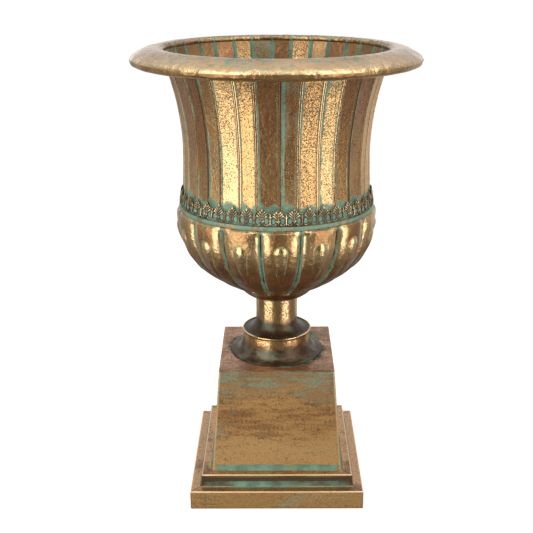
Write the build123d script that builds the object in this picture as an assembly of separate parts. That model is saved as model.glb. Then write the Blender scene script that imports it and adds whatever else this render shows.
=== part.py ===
from build123d import *
import os
from math import asin, cos, pi, radians, sin, sqrt, tan

# Urn vase on a stepped plinth, formed from thin iron sheet.
# Millimetres, +Z up, origin at the middle of the plinth's underside, front towards -Y.

# Sheet, fits and cuts
SHEET = 1.0
FIT_GAP = 0.3
CUT_OVERRUN = 4.0
SPUN_SIDES = 36
RIM_SIDES = 60

# Plinth: four bent sides mitred at the corners, under a square plate
PLINTH_HEIGHT = 116.8
PLATE_SIDE = 96.0
PANEL_SPREAD = 6.7
MIDDLE_TREAD = 8.8
BOTTOM_TREAD = 9.1
BOTTOM_STEP_HEIGHT = 17.0
MIDDLE_STEP_HEIGHT = 10.7
HEM_WIDTH = 7.0
HEM_RADIUS = 1.6
FOLD_RADIUS = 1.2
COVE_RADIUS = 3.0
FOLD_CHORDS = 2
COVE_CHORDS = 3

# Tie rod through the stack, with the same nut and bearing plate at either end
ROD_RADIUS = 3.0
ROD_TAIL = 3.0
NUT_ACROSS_FLATS = 10.0
NUT_HEIGHT = 5.0
BEARING_SIDE = 34.0
BEARING_THICKNESS = 2.0

# Collar: a spun ring with a flat foot flange and a seat inside its open top
COLLAR_HEIGHT = 20.2
COLLAR_RADIUS = 28.8
COLLAR_RIM_OVERHANG = 0.6
COLLAR_RIM_HEIGHT = 3.0
COLLAR_FLANGE_WIDTH = 4.0
COLLAR_COVE_WIDTH = 6.8
COLLAR_COVE_HEIGHT = 9.6
COLLAR_COVE_CHORDS = 3
COLLAR_SEAT_DEPTH = 1.5
COLLAR_SEAT_WIDTH = 7.8

# Stem: a spun tube with a trumpet foot and a closed top
STEM_RADIUS = 17.6
STEM_HEIGHT = 31.1
STEM_FOOT_HEIGHT = 9.4
STEM_FOOT_CHORDS = 3

# Dish: a shallow spun cap between the stem and the bowl
DISH_HEIGHT = 11.6
DISH_LEDGE = 0.9
DISH_CURVE_SHARES = ((0.0, 0.0), (0.50, 0.30), (0.80, 0.62), (1.0, 1.0))

# Bowl: bulging lobes between creases, each with a raised tongue, under a plain shoulder
BOWL_HEIGHT = 71.9
SHOULDER_HEIGHT = 3.8
SHOULDER_LEDGE = 0.4
BOWL_SHELL = 1.2
LOBE_COUNT = 16
LOBE_CHORDS = 4
INNER_CHORDS = 2
CREASE_DEPTH = 1.5
LOBE_BULGE = 3.8
LOBE_CENTRE_ANGLE = 2.3
LOBE_CURVE_SHARES = (
    (0.0, 0.410),
    (0.070, 0.535),
    (0.180, 0.685),
    (0.330, 0.826),
    (0.500, 0.917),
    (0.680, 0.972),
    (0.860, 1.0),
    (1.0, 0.974),
)
TONGUE_WIDTH = 11.6
TONGUE_RISE = 2.2
TONGUE_CURVE_SHARES = ((0.37, 0.25), (0.50, 0.55), (0.74, 1.0), (0.81, 0.85), (0.85, 0.35))
TONGUE_OUTLINE_SHARES = ((-1.0, -1.0), (-0.6, 0.85), (0.0, 1.0), (0.6, 0.85), (1.0, -1.0))

# Fluted wall: flat panels between folded ribs, waisted below and flaring to the rim
WALL_SHEET = 1.0
WALL_HEIGHT = 121.0
WALL_WAIST_RADIUS = 75.4
WALL_CURVE_SHARES = ((0.0, 1.012), (0.32, 1.0), (0.60, 1.028), (0.82, 1.100), (1.0, 1.194))
FIRST_RIB_ANGLE = 2.0
PANEL_WIDTH_SHARES = (
    0.91, 1.07, 1.00, 1.01, 1.14, 0.88, 1.08, 0.94,
    1.06, 0.92, 1.09, 0.93, 1.05, 0.95, 1.04, 0.96,
    1.05, 0.93, 1.08, 0.92, 1.07, 0.94, 1.05, 0.95,
    1.02, 0.92, 0.93, 0.85, 1.12, 0.91, 1.16, 1.07,
)
RIB_FOOT_WIDTH = 2.8
RIB_TOP_WIDTH = 1.8
RIB_RISE = 0.9

# Gallery: a pierced strip of palmettes and posts standing round the wall's foot
MOTIF_COUNT = 41
MOTIF_HEIGHT = 13.4
GALLERY_SHEET = 0.8
GALLERY_STANDOFF = 2.0
FIRST_MOTIF_ANGLE = 0.9
POST_HEIGHT = 9.8
POST_WIDTH = 1.4
EYE_WIDTH = 3.0
EYE_HEIGHT = 4.6
EYE_CENTRE_HEIGHT = 4.4
EYE_OFFSET = 3.3
LEAF_CURVE_SHARES = ((0.07, 1.0), (0.52, 0.80), (0.66, 0.60))

# Rim: a broad lip rolled outward and down into a bead
RIM_WIDTH = 26.0
RIM_SEAT_WIDTH = 15.5
RIM_HEIGHT = 4.6
RIM_CURVE_SHARES = (
    (0.0, 0.42),
    (0.10, 0.88),
    (0.27, 1.0),
    (0.52, 0.80),
    (0.78, 0.24),
    (0.94, -0.50),
    (1.0, -1.20),
    (0.93, -1.86),
    (0.80, -2.0),
)

# Heights of the seats, from the ground up
z_plate = PLINTH_HEIGHT - SHEET
z_collar = PLINTH_HEIGHT
z_collar_top = z_collar + COLLAR_HEIGHT
z_stem = z_collar_top - COLLAR_SEAT_DEPTH
z_dish = z_stem + STEM_HEIGHT
z_bowl = z_dish + DISH_HEIGHT
z_wall = z_bowl + BOWL_HEIGHT
z_rim = z_wall + WALL_HEIGHT

# Radii that follow from the wall, the collar, the stem and the rod
wall_top_radius = WALL_WAIST_RADIUS * WALL_CURVE_SHARES[-1][1]
wall_foot_scale = WALL_CURVE_SHARES[0][1]
mouth_radius = (WALL_WAIST_RADIUS - WALL_SHEET) * wall_foot_scale - FIT_GAP
gallery_radius = (WALL_WAIST_RADIUS + RIB_RISE) * wall_foot_scale + GALLERY_STANDOFF + GALLERY_SHEET
shoulder_radius = gallery_radius + SHOULDER_LEDGE
crease_radius = shoulder_radius - CREASE_DEPTH
crest_radius = crease_radius + LOBE_BULGE
dish_radius = crest_radius * LOBE_CURVE_SHARES[0][1] - DISH_LEDGE
collar_bore = COLLAR_RADIUS + COLLAR_RIM_OVERHANG - SHEET
rod_hole_radius = ROD_RADIUS + FIT_GAP


def bend(before, corner, after, radius, count):
    """Points that round a corner of an outline with even chords; places are complex numbers."""
    back = (before - corner) / abs(before - corner)
    ahead = (after - corner) / abs(after - corner)
    half = abs(back - ahead) / 2
    centre = corner + (back + ahead) / abs(back + ahead) * radius / half
    start = corner + back * radius * sqrt(1 - half**2) / half - centre
    finish = corner + ahead * radius * sqrt(1 - half**2) / half - centre
    return [centre + start * (finish / start) ** (i / count) for i in range(count + 1)]


def other_face(skin, thickness):
    """The skin moved to its left by the sheet's thickness; places are complex numbers."""
    ways = [(b - a) / abs(b - a) for a, b in zip(skin, skin[1:])]
    ways = [ways[0], *ways, ways[-1]]
    moved = []
    for point, before, after in zip(skin, ways, ways[1:]):
        moved.append(point + 1j * thickness * (before + after) / (1 + (before / after).real))
    return moved


def drilled(body, bottom, top):
    """The body with the tie rod's hole through it between two heights."""
    hole = Cylinder(rod_hole_radius, top - bottom + 2 * CUT_OVERRUN)
    return body - Pos(0, 0, (bottom + top) / 2) * hole


def around(angle, along, out):
    """Plan coordinates of a point beside the ray at an angle from the front, in degrees."""
    a = radians(angle)
    return (out * sin(a) + along * cos(a), along * sin(a) - out * cos(a))


def skinned(rings):
    """A flat-faced solid between rings of matching points, capped unless it ends where it began."""
    corners = []
    if rings[0] != rings[-1]:
        corners = [rings[0], rings[-1]]
    for low, high in zip(rings, rings[1:]):
        for i in range(len(low)):
            corners.append((low[i - 1], low[i], high[i], high[i - 1]))
    faces = [Face(Wire.make_polygon([Vector(*p) for p in ring], close=True)) for ring in corners]
    return Solid(Shell(faces)).clean()


def spun(outline, sides):
    """A ring-shaped body from a closed outline of (radius, height) points, turned in even flats."""
    rings = []
    for radius, height in [*outline, outline[0]]:
        rings.append([(*around(360 * i / sides, 0, radius), height) for i in range(sides)])
    return skinned(rings)


def plinth_side(turn):
    """One bent side: a sloping panel, two steps and an inward hem, mitred at both ends."""
    z_middle = BOTTOM_STEP_HEIGHT
    z_panel = z_middle + MIDDLE_STEP_HEIGHT
    panel_foot = PLATE_SIDE / 2 + PANEL_SPREAD
    middle = panel_foot + MIDDLE_TREAD
    bottom = middle + BOTTOM_TREAD
    corners = [
        complex(bottom - HEM_WIDTH, 0),
        complex(bottom, 0),
        complex(bottom, z_middle),
        complex(middle, z_middle),
        complex(middle, z_panel),
        complex(panel_foot, z_panel),
        complex(PLATE_SIDE / 2, z_plate),
    ]
    bends = [
        (HEM_RADIUS, FOLD_CHORDS),
        (FOLD_RADIUS, FOLD_CHORDS),
        (COVE_RADIUS, COVE_CHORDS),
        (FOLD_RADIUS, FOLD_CHORDS),
        (COVE_RADIUS, COVE_CHORDS),
    ]
    skin = [corners[0]]
    for i, (radius, count) in enumerate(bends):
        skin += bend(corners[i], corners[i + 1], corners[i + 2], radius, count)
    skin.append(corners[-1])
    outline = [*skin, *reversed(other_face(skin, SHEET))]
    section = make_face(Polyline(*[(p.real, p.imag) for p in outline], close=True))
    bar = extrude(Plane.XZ * section, amount=2 * bottom, both=True)
    for across in (1, -1):
        mitre = Plane(origin=(0, 0, 0), z_dir=(-1, across, 0))
        bar = split(bar, bisect_by=mitre, keep=Keep.BOTTOM)
    return Rot(0, 0, turn) * bar


def plinth_plate():
    """The square top plate, lying on the upper edges of the four sides."""
    plate = Pos(0, 0, z_plate + SHEET / 2) * Box(PLATE_SIDE, PLATE_SIDE, SHEET)
    return drilled(plate, z_plate, PLINTH_HEIGHT)


def cove(side_radius, top, width, height, count):
    """A hollow quarter curve from a spun foot up to a straight side, as (radius, height) points."""
    turns = [pi / 2 * i / count for i in range(count + 1)]
    return [(side_radius + width * (1 - sin(a)), top - height * cos(a)) for a in turns]


def collar():
    """A spun ring: foot flange, cove, straight side, flared rim and a seat for the stem."""
    z_side = z_collar + SHEET + COLLAR_COVE_HEIGHT
    inside = COLLAR_RADIUS - SHEET
    seat = inside - COLLAR_SEAT_WIDTH
    width = COLLAR_COVE_WIDTH
    height = COLLAR_COVE_HEIGHT
    flange = COLLAR_RADIUS + width + COLLAR_FLANGE_WIDTH
    outer_cove = cove(COLLAR_RADIUS, z_side, width, height, COLLAR_COVE_CHORDS)
    inner_cove = cove(inside, z_side, width + SHEET, height + SHEET, COLLAR_COVE_CHORDS)
    outline = [
        (flange, z_collar),
        (flange, z_collar + SHEET),
        *outer_cove,
        (COLLAR_RADIUS, z_collar_top - COLLAR_RIM_HEIGHT),
        (collar_bore + SHEET, z_collar_top),
        (collar_bore, z_collar_top),
        (collar_bore, z_stem),
        (seat, z_stem),
        (seat, z_stem - SHEET),
        (inside, z_stem - SHEET),
        *reversed(inner_cove),
    ]
    return spun(outline, SPUN_SIDES)


def stem():
    """A spun tube whose foot flares like a trumpet onto the collar's seat."""
    z_side = z_stem + STEM_FOOT_HEIGHT
    inside = STEM_RADIUS - SHEET
    width = collar_bore - FIT_GAP - STEM_RADIUS
    outer_flare = cove(STEM_RADIUS, z_side, width, STEM_FOOT_HEIGHT - SHEET, STEM_FOOT_CHORDS)
    inner_flare = cove(inside, z_side, width, STEM_FOOT_HEIGHT, STEM_FOOT_CHORDS)
    outline = [
        (rod_hole_radius, z_dish),
        (STEM_RADIUS, z_dish),
        *reversed(outer_flare),
        (STEM_RADIUS + width, z_stem),
        *inner_flare,
        (inside, z_dish - SHEET),
        (rod_hole_radius, z_dish - SHEET),
    ]
    return spun(outline, SPUN_SIDES)


def bowl_dish():
    """A shallow cap that spreads from the stem's top to the bowl's floor."""
    width = dish_radius - STEM_RADIUS
    skin = [(STEM_RADIUS + width * r, z_dish + DISH_HEIGHT * h) for r, h in DISH_CURVE_SHARES]
    outline = [
        (rod_hole_radius, z_dish),
        *skin,
        (dish_radius - SHEET, z_bowl),
        (STEM_RADIUS - SHEET, z_dish + SHEET),
        (rod_hole_radius, z_dish + SHEET),
    ]
    return spun(outline, SPUN_SIDES)


def lobed_ring(scale, height, chords):
    """A closed outline of sixteen bulging lobes at one height, as even chords."""
    half_pitch = pi / LOBE_COUNT
    half_width = crease_radius * sin(half_pitch)
    bulge = crest_radius - crease_radius * cos(half_pitch)
    arc_radius = (half_width**2 + bulge**2) / (2 * bulge)
    arc_centre = crest_radius - arc_radius
    reach = asin(half_width / arc_radius)
    points = []
    for lobe in range(LOBE_COUNT):
        angle = LOBE_CENTRE_ANGLE + 360 * lobe / LOBE_COUNT
        for chord in range(chords):
            t = reach * (2 * chord / chords - 1)
            out = arc_centre + arc_radius * cos(t)
            plan = around(angle, arc_radius * sin(t) * scale, out * scale)
            points.append((*plan, height))
    return points


def lobe_scale(share):
    """The bowl's outer radius at a share of the lobes' height, as a share of the crest's."""
    for (low, low_scale), (high, high_scale) in zip(LOBE_CURVE_SHARES, LOBE_CURVE_SHARES[1:]):
        if share <= high:
            return low_scale + (high_scale - low_scale) * (share - low) / (high - low)
    return LOBE_CURVE_SHARES[-1][1]


def tongue(angle, lobes_height):
    """A raised tongue on a lobe, arched at the top and tapering to its lower end."""
    rings = []
    for share, size in TONGUE_CURVE_SHARES:
        out = crest_radius * lobe_scale(share)
        height = z_bowl + lobes_height * share
        half_width = TONGUE_WIDTH / 2 * size
        rise = TONGUE_RISE * size
        ring = [around(angle, half_width * u, out + rise * v) for u, v in TONGUE_OUTLINE_SHARES]
        rings.append([(*plan, height) for plan in ring])
    return skinned(rings)


def bowl():
    """The lobed bowl with its tongues, floor and the plain shoulder that carries the wall."""
    lobes_height = BOWL_HEIGHT - SHOULDER_HEIGHT
    thin = BOWL_SHELL / crease_radius
    floor_share = BOWL_SHELL / lobes_height
    mouth_scale = mouth_radius / crease_radius
    z_shoulder = z_wall - SHOULDER_HEIGHT
    outside = []
    inside = [lobed_ring(lobe_scale(floor_share) - thin, z_bowl + BOWL_SHELL, INNER_CHORDS)]
    for share, scale in LOBE_CURVE_SHARES:
        height = z_bowl + lobes_height * share
        outside.append(lobed_ring(scale, height, LOBE_CHORDS))
        if share > 0:
            inside.append(lobed_ring(min(scale - thin, mouth_scale), height, INNER_CHORDS))
    middle = Pos(0, 0, (z_shoulder + z_wall) / 2)
    shoulder = middle * Cylinder(shoulder_radius, SHOULDER_HEIGHT)
    opening = middle * RegularPolygon(mouth_radius, SPUN_SIDES, major_radius=False)
    mouth = extrude(opening, amount=SHOULDER_HEIGHT / 2 + CUT_OVERRUN, both=True)
    angles = [LOBE_CENTRE_ANGLE + 360 * i / LOBE_COUNT for i in range(LOBE_COUNT)]
    tongues = [tongue(angle, lobes_height) for angle in angles]
    body = skinned(outside) + [shoulder, *tongues] - skinned(inside) - mouth
    return drilled(body, z_bowl, z_bowl + BOWL_SHELL)


def rib_angles():
    """Angles of the ribs from the front, one for each panel, from the panels' uneven widths."""
    total = sum(PANEL_WIDTH_SHARES)
    angles = [FIRST_RIB_ANGLE]
    for share in PANEL_WIDTH_SHARES[:-1]:
        angles.append(angles[-1] + 360 * share / total)
    return angles


def fluted_ring(scale, height, outside):
    """A closed outline of flat panels at one height, with ribs outside or grooves inside."""
    foot = RIB_FOOT_WIDTH / 2
    top = RIB_TOP_WIDTH / 2
    profile = [(-top, -WALL_SHEET), (0, RIB_RISE - WALL_SHEET), (top, -WALL_SHEET)]
    if outside:
        profile = [(-foot, 0), (-top, RIB_RISE), (top, RIB_RISE), (foot, 0)]
    return [
        (*around(angle, along * scale, (WALL_WAIST_RADIUS + rise) * scale), height)
        for angle in rib_angles()
        for along, rise in profile
    ]


def fluted_wall():
    """The tall wall of flat panels and folded ribs, open at both ends."""
    levels = [(scale, z_wall + WALL_HEIGHT * share) for share, scale in WALL_CURVE_SHARES]
    outside = skinned([fluted_ring(scale, height, True) for scale, height in levels])
    inside = skinned([fluted_ring(scale, height, False) for scale, height in levels])
    return outside - inside


def gallery_band():
    """A many-sided pierced ring: each flat has a palmette between two eyes and half posts."""
    pitch = 360 / MOTIF_COUNT
    half_flat = gallery_radius * tan(radians(pitch / 2))
    start = FIRST_MOTIF_ANGLE - pitch / 2
    rings = []
    for radius in (gallery_radius, gallery_radius - GALLERY_SHEET):
        corner = radius / cos(radians(pitch / 2))
        points = [around(start + pitch * i, 0, corner) for i in range(MOTIF_COUNT)]
        rings.append(make_face(Polyline(*points, close=True)))
    band = extrude(Pos(0, 0, z_wall) * (rings[0] - rings[1]), amount=MOTIF_HEIGHT)
    eye = [
        (EYE_OFFSET - EYE_WIDTH / 2, EYE_CENTRE_HEIGHT),
        (EYE_OFFSET, EYE_CENTRE_HEIGHT + EYE_HEIGHT / 2),
        (EYE_OFFSET + EYE_WIDTH / 2, EYE_CENTRE_HEIGHT),
        (EYE_OFFSET, EYE_CENTRE_HEIGHT - EYE_HEIGHT / 2),
    ]
    leaf = [(half_flat * u, MOTIF_HEIGHT * v) for u, v in LEAF_CURVE_SHARES]
    post_side = half_flat - POST_WIDTH / 2
    gap = [
        *leaf,
        (post_side, leaf[-1][1]),
        (post_side, POST_HEIGHT),
        (half_flat + FIT_GAP, POST_HEIGHT),
        (half_flat + FIT_GAP, MOTIF_HEIGHT + CUT_OVERRUN),
        (leaf[0][0], MOTIF_HEIGHT + CUT_OVERRUN),
    ]
    cutters = []
    for motif in range(MOTIF_COUNT):
        angle = FIRST_MOTIF_ANGLE + pitch * motif
        for side in (1, -1):
            for outline in (eye, gap):
                face = make_face(Polyline(*[(side * u, v) for u, v in outline], close=True))
                plane = Plane(
                    origin=(*around(angle, 0, gallery_radius), z_wall),
                    x_dir=(*around(angle, 1, 0), 0),
                    z_dir=(*around(angle, 0, 1), 0),
                )
                cutters.append(extrude(plane * face, amount=CUT_OVERRUN / 2, both=True))
    return band - cutters


def rim_ring():
    """The broad lip that caps the wall: crown, outward slope and a bead turned under."""
    opening = wall_top_radius - WALL_SHEET
    skin = [(opening + RIM_WIDTH * r, z_rim + RIM_HEIGHT * h) for r, h in RIM_CURVE_SHARES]
    outline = [(opening, z_rim), *skin, (opening + RIM_SEAT_WIDTH, z_rim)]
    return spun(outline, RIM_SIDES)


def rod_ends():
    """Heights of the faces that the bearing plates press on, with the way they point."""
    return ((z_plate, -1), (z_bowl + BOWL_SHELL, 1))


def tie_rod():
    """The rod that clamps the plate, collar, stem, dish and bowl together."""
    overhang = BEARING_THICKNESS + NUT_HEIGHT + ROD_TAIL
    bottom = z_plate - overhang
    top = z_bowl + BOWL_SHELL + overhang
    return Pos(0, 0, (bottom + top) / 2) * Cylinder(ROD_RADIUS, top - bottom)


def bearing_plates():
    """Two square plates that spread the nuts' load on the thin sheet."""
    plates = []
    for face, way in rod_ends():
        middle = face + way * BEARING_THICKNESS / 2
        plate = Pos(0, 0, middle) * Box(BEARING_SIDE, BEARING_SIDE, BEARING_THICKNESS)
        plates.append(drilled(plate, middle, middle))
    return Compound(children=plates)


def rod_nuts():
    """Two hexagon nuts, one at each end of the tie rod."""
    nuts = []
    for face, way in rod_ends():
        middle = face + way * (BEARING_THICKNESS + NUT_HEIGHT / 2)
        hexagon = RegularPolygon(NUT_ACROSS_FLATS / 2, 6, major_radius=False)
        body = extrude(Pos(0, 0, middle) * hexagon, amount=NUT_HEIGHT / 2, both=True)
        nuts.append(drilled(body, middle, middle))
    return Compound(children=nuts)


def main():
    parts = {
        "rim_ring": rim_ring(),
        "fluted_wall": fluted_wall(),
        "gallery_band": gallery_band(),
        "bowl": bowl(),
        "bowl_dish": bowl_dish(),
        "stem": stem(),
        "collar": collar(),
        "plinth_plate": plinth_plate(),
        "tie_rod": tie_rod(),
        "bearing_plates": bearing_plates(),
        "rod_nuts": rod_nuts(),
    }
    for name, turn in (("front", -90), ("right", 0), ("back", 90), ("left", 180)):
        parts["plinth_side_" + name] = plinth_side(turn)
    os.makedirs("parts", exist_ok=True)
    for name, shape in parts.items():
        export_step(shape, "parts/" + name + ".step")


if __name__ == "__main__":
    main()
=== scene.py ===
import math

import bpy
import numpy as np
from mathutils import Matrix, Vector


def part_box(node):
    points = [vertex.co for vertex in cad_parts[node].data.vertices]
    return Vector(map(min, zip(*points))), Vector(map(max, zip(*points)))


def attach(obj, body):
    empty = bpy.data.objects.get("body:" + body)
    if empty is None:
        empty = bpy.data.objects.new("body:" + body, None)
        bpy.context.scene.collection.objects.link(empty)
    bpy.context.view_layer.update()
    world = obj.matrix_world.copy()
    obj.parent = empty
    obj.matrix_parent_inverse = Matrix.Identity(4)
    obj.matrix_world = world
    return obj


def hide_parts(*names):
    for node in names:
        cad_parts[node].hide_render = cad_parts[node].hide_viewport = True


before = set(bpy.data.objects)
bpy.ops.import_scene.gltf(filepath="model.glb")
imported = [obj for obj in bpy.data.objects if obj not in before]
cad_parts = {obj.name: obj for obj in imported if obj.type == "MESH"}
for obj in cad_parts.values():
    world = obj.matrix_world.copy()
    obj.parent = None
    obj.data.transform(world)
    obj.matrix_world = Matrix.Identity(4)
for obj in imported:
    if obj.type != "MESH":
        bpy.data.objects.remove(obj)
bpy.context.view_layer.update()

bl_info = {
    "name": "Urn Vase Dressing",
    "version": (1, 0, 0),
    "blender": (4, 5, 0),
    "location": "3D View > Sidebar > Urn Vase",
    "description": "Dresses the packed urn vase in worn gilt sheet metal with verdigris",
    "category": "Add Mesh",
}

# Points are worked out in millimetres, +Z up and front towards -Y, and scaled when a mesh is made.
MM = 0.001

# Seats and reaches, in millimetres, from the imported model
PLATE_FOOT, PLATE_TOP = (corner.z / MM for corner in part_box("plinth_plate"))
COLLAR_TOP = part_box("collar")[1].z / MM
STEM_FOOT, STEM_TOP = (corner.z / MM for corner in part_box("stem"))
BOWL_FOOT, BOWL_TOP = (corner.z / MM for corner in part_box("bowl"))
WALL_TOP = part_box("fluted_wall")[1].z / MM
SLAB_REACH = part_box("plinth_side_front")[1].x / MM
PLATE_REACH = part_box("plinth_plate")[1].x / MM
FLANGE_REACH = 39.6
ROD_HOLE = 3.3
SHARP_FOLD = math.radians(38)


def millimetres(name, description, value):
    """A length that a user may change, stored in metres."""
    return bpy.props.FloatProperty(
        name=name, description=description, default=value * MM, min=0, precision=5,
        subtype="DISTANCE", unit="LENGTH",
    )


def tint(name, description, value):
    """A colour that a user may change."""
    return bpy.props.FloatVectorProperty(
        name=name, description=description, default=value, size=3, min=0, max=1, subtype="COLOR"
    )


def brightness(name, description, value):
    """The strength of a light, where 1 is white."""
    return bpy.props.FloatProperty(name=name, description=description, default=value, min=0)


class UrnSizes(bpy.types.PropertyGroup):
    """Sizes of the detail on the urn's sheet metal."""

    sheet: millimetres("Sheet", "Thickness of the sheet metal", 1.0)
    rib_rise: millimetres("Rib rise", "How far the two beads of a wall rib stand out", 0.7)
    rib_groove: millimetres("Rib groove", "How far the groove between them stands out", 0.2)
    crease_depth: millimetres("Crease depth", "Depth of the sharp crease between two lobes", 1.4)
    tongue_rise: millimetres("Tongue rise", "How far a lobe's tongue stands out", 1.5)
    leaf_width: millimetres("Leaf width", "Half width of a leaf blade in the gallery", 0.34)
    dents: millimetres("Dents", "Height of the dents that hand work leaves in the sheet", 0.12)
    seam: millimetres("Seam", "Gap of the mitred seam at the plinth's corners", 0.12)


class UrnColours(bpy.types.PropertyGroup):
    """Colours of the urn's worn gilt finish, and of its painted highlights, reflection and shade.
    """

    gold: tint("Gold", "Rubbed gold paint", (0.65, 0.385, 0.145))
    # This colour is also used for painted highlights.
    brass: tint("Brass", "Bare metal at rubbed edges", (0.92, 0.66, 0.34))
    bronze: tint("Bronze", "Browner gold in patches", (0.40, 0.185, 0.065))
    copper: tint("Copper", "Rosy copper paint", (0.68, 0.38, 0.23))
    # This pale colour is a painted reflection: the sheen over the rim's top towards its left and
    # right ends.
    rim_end_sheen: tint("Bloom", "Pale film over the rim's ends", (0.78, 0.60, 0.50))
    # This dark brown is also used for painted shade.
    umber: tint("Umber", "Dark brown patina", (0.050, 0.025, 0.015))
    verdigris: tint("Verdigris", "Green paint in the folds", (0.165, 0.310, 0.215))
    moss: tint("Moss", "Darker green where it is thin", (0.075, 0.145, 0.098))
    steel: tint("Steel", "Plated steel of the rod and nuts", (0.56, 0.55, 0.53))


class UrnStage(bpy.types.PropertyGroup):
    """Floor and lights of the studio."""

    floor: tint("Floor", "Colour of the pale floor", (0.82, 0.82, 0.82))
    sky: brightness("Sky", "Strength of the even light from all round", 0.5)
    lamp: brightness("Lamps", "Brightness of each soft lamp, where 1 is white", 2.2)


# Shader maths


class Signal:
    """A socket of a shader; sums, differences, products and maxima of it add Math nodes."""

    def __init__(self, recipe, socket):
        self.recipe = recipe
        self.socket = socket

    def math(self, operation, first, second):
        return self.recipe.node("ShaderNodeMath", {"operation": operation}, {0: first, 1: second})

    def __add__(self, other):
        return self.math("ADD", self, other)

    def __sub__(self, other):
        return self.math("SUBTRACT", self, other)

    def __rsub__(self, other):
        return self.math("SUBTRACT", other, self)

    def __mul__(self, other):
        return self.math("MULTIPLY", self, other)

    def __or__(self, other):
        return self.math("MAXIMUM", self, other)

    __radd__ = __add__
    __rmul__ = __mul__
    __ror__ = __or__

    def step(self, low, high):
        """A soft step from 0 to 1 as the signal passes from low to high."""
        settings = {"interpolation_type": "SMOOTHSTEP"}
        return self.recipe.node("ShaderNodeMapRange", settings, {0: self, 1: low, 2: high})


class Recipe:
    """A node tree, and the one method that adds a node to it."""

    def __init__(self, tree):
        self.tree = tree
        self.tree.nodes.clear()

    def node(self, kind, settings=None, sockets=None, output=0):
        made = self.tree.nodes.new(kind)
        for name, value in (settings or {}).items():
            setattr(made, name, value)
        for name, value in (sockets or {}).items():
            if isinstance(value, Signal):
                self.tree.links.new(value.socket, made.inputs[name])
            else:
                made.inputs[name].default_value = value
        if not made.outputs:
            return None
        return Signal(self, made.outputs[output])

    def mix(self, factor, *pair):
        """Two colours mixed, each a socket, three numbers or the name of one of the urn's."""
        colours = bpy.context.scene.urn_colours
        pair = [getattr(colours, c) if isinstance(c, str) else c for c in pair]
        first, second = (c if isinstance(c, Signal) else (*c, 1) for c in pair)
        settings = {"data_type": "RGBA", "clamp_factor": True}
        return self.node("ShaderNodeMix", settings, {0: factor, 6: first, 7: second}, 2)

    def mark(self, name):
        """A mark that the piece's mesh carries at its points."""
        return self.node("ShaderNodeAttribute", {"attribute_name": name}, output="Fac")

    def grain(self, size, detail=2.0, stretch=(1, 1, 1), rough=0.5):
        """Even noise with spots of about the given size in millimetres."""
        place = self.node("ShaderNodeTexCoord", output="Object")
        scale = tuple(s / (size * MM) for s in stretch)
        place = self.node("ShaderNodeVectorMath", {"operation": "MULTIPLY"}, {0: place, 1: scale})
        sockets = {"Vector": place, "Scale": 0.5, "Detail": detail, "Roughness": rough}
        return self.node("ShaderNodeTexNoise", {}, sockets)

    def seen(self):
        """1 for rays that should meet the white background: camera, glossy and transmission."""
        rays = ("Is Camera Ray", "Is Glossy Ray", "Is Transmission Ray")
        first, second, third = (self.node("ShaderNodeLightPath", output=ray) for ray in rays)
        return first | second | third


class Finish(Recipe):
    """A material of painted and rubbed sheet metal, or of a stage piece."""

    def __init__(self, name):
        self.material = bpy.data.materials.new(name)
        self.material.use_nodes = True
        super().__init__(self.material.node_tree)

    def shown(self, surface):
        """The material with its surface shader linked."""
        self.node("ShaderNodeOutputMaterial", {}, {"Surface": surface})
        return self.material

    def metal(self, sockets, height, strength, distance):
        """The material with bumps of a strength, over a distance in millimetres."""
        bumps = {"Strength": strength, "Distance": distance * MM, "Height": height}
        sockets = {**sockets, "Normal": self.node("ShaderNodeBump", {}, bumps)}
        return self.shown(self.node("ShaderNodeBsdfPrincipled", {}, sockets))

    def gilt(self, body, green, soot_and_shade, worn, rub, hammer, roughness=0.26):
        """Metal in the body colour under green paint, dark specks of dirt and painted shade, and
        rubbed edges and painted highlights in brass.
        """
        thin = self.grain(5, 3).step(0.42, 0.62) * 0.6 + rub.step(0.5, 0.62) * 0.3
        colour = self.mix(worn, body, "brass")
        colour = self.mix(soot_and_shade, colour, "umber")
        colour = self.mix(green, colour, self.mix(thin, "verdigris", "moss"))
        bare = 1 - (green * 0.92 | soot_and_shade * 0.35)
        matt = green * 0.34 + soot_and_shade * 0.15 + rub * 0.1 - worn * 0.1 + roughness
        sockets = {"Base Color": colour, "Metallic": bare, "Roughness": matt}
        sockets |= {"Coat Weight": (1 - soot_and_shade) * 0.35, "Coat Roughness": 0.25}
        return self.metal(sockets, hammer + green * 0.35 - soot_and_shade * 0.3, 0.7, 0.4)


# Points and meshes


def circle(count):
    """Even angles once round, in radians."""
    return np.linspace(0, 2 * math.pi, count, endpoint=False)


def place(radius, turn, height):
    """Points from radii, angles from the front in radians and heights."""
    radius, turn, height = np.broadcast_arrays(radius, turn, height)
    return np.stack([radius * np.sin(turn), -radius * np.cos(turn), height], -1)


def step(value, low, high):
    """A soft step from 0 to 1 as the value passes from low to high."""
    t = np.clip((value - low) / (high - low), 0, 1)
    return t * t * (3 - 2 * t)


def flowing(points, count):
    """A smooth run of points through the given ones, with count points to each span."""
    p = np.array(points, float)
    p = np.vstack([2 * p[0] - p[1], p, 2 * p[-1] - p[-2]])
    t = np.linspace(0, 1, count, endpoint=False)[:, None]
    runs = []
    for a, b, c, d in zip(p, p[1:], p[2:], p[3:]):
        bend = (2 * a - 5 * b + 4 * c - d) * t**2 + (3 * b - a - 3 * c + d) * t**3
        runs.append(b + 0.5 * ((c - a) * t + bend))
    return np.vstack([*runs, p[-2:-1]])


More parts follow.
